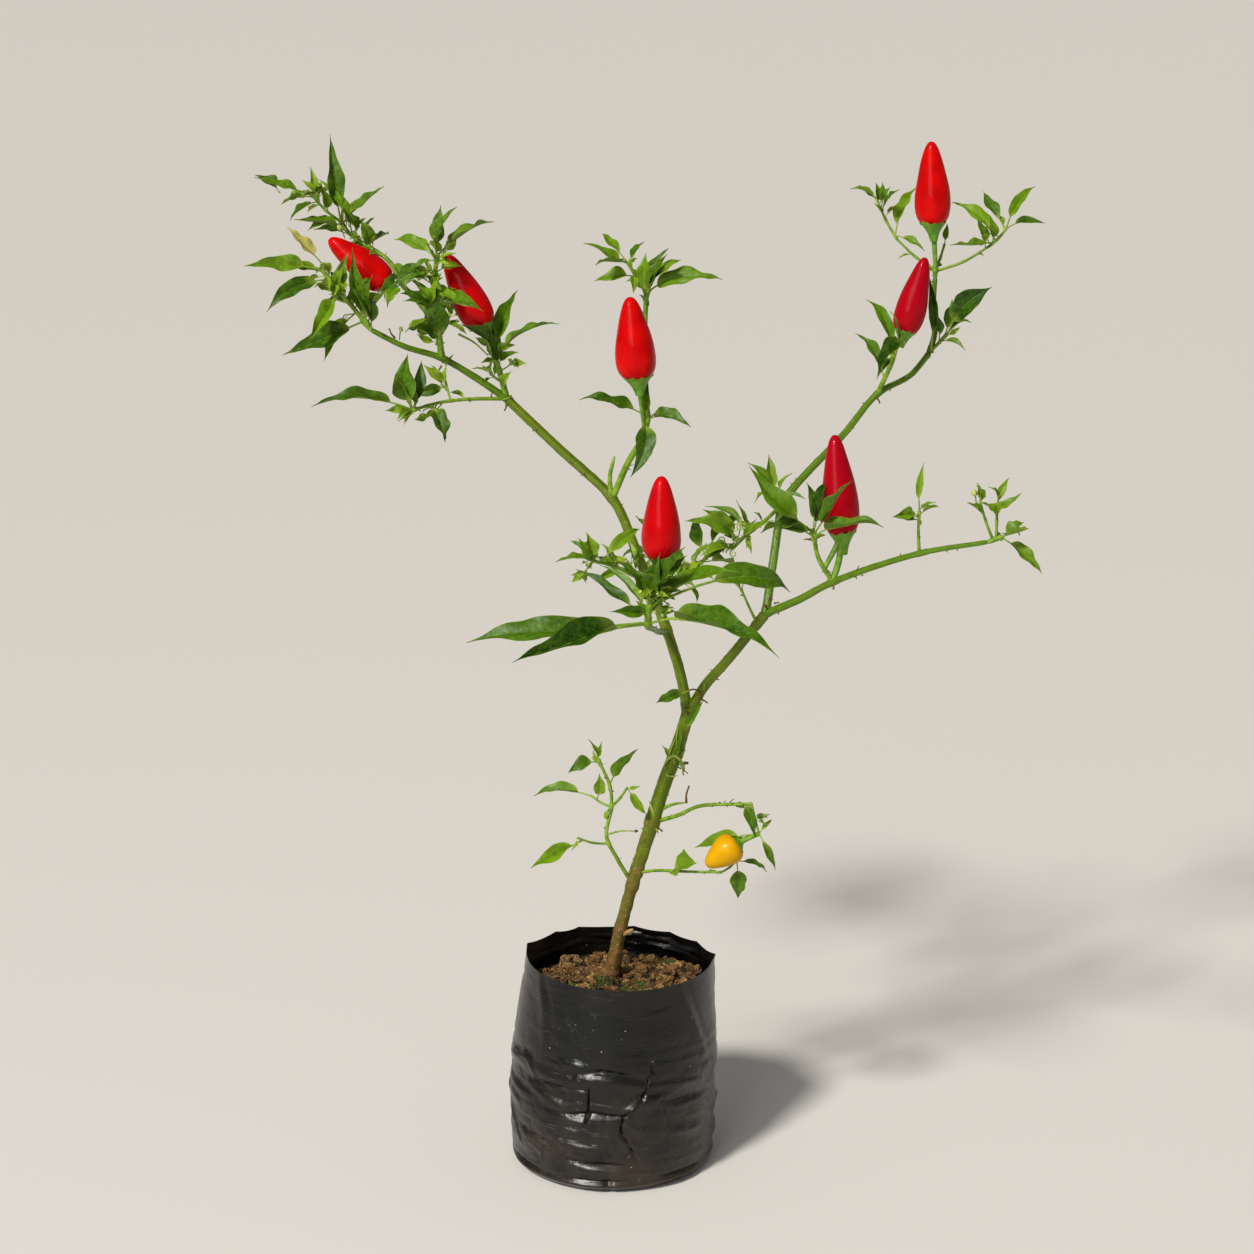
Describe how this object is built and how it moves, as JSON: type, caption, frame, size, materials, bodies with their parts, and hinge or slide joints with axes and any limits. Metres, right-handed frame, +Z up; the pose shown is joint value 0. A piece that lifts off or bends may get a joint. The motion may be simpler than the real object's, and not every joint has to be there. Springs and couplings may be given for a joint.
{
  "type": "chilli pepper plant in a nursery bag",
  "caption": "Young chilli pepper plant with red upright fruit and one yellow fruit on a forked green stem, standing in a black polythene nursery bag of soil.",
  "frame": {"origin": "centre of the bag's flat underside, where the plant stands", "axes": "+Z up along the plant, +X to the right and -Y towards the viewer of the picture"},
  "size_m": [0.4722, 0.2615, 0.6226],
  "materials": {
    "bark": "satin",
    "green_stem": "satin",
    "foliage": "satin",
    "film": "satin",
    "soil": "matte"
  },
  "bodies": {
    "root": {"trunk": "bark", "left_bough": "bark", "right_bough": "bark", "outer_left_bough": "green_stem", "left_riser": "green_stem", "right_riser": "green_stem", "upper_right_bough": "green_stem", "top_right_bough": "green_stem", "far_right_bough": "green_stem", "front_bough": "green_stem", "left_tip_sprig": "foliage", "upper_left_sprig": "foliage", "inner_left_sprig": "foliage", "back_left_sprig": "foliage", "back_middle_sprig": "foliage", "left_fruit_sprig": "foliage", "low_left_sprig": "foliage", "crown_middle_sprig": "foliage", "front_sprig": "foliage", "left_inner_sprig": "foliage", "curly_sprig": "foliage", "elbow_sprig": "foliage", "right_fruit_sprig": "foliage", "bud_sprig": "foliage", "far_right_sprig": "foliage", "upper_right_sprig": "foliage", "outer_right_sprig": "foliage", "top_right_sprig": "foliage", "thin_right_twig": "foliage", "low_left_shoot": "foliage", "low_right_shoot": "foliage", "low_right_twig": "foliage", "grow_bag": "film", "soil": "soil"}
  },
  "joints": []
}
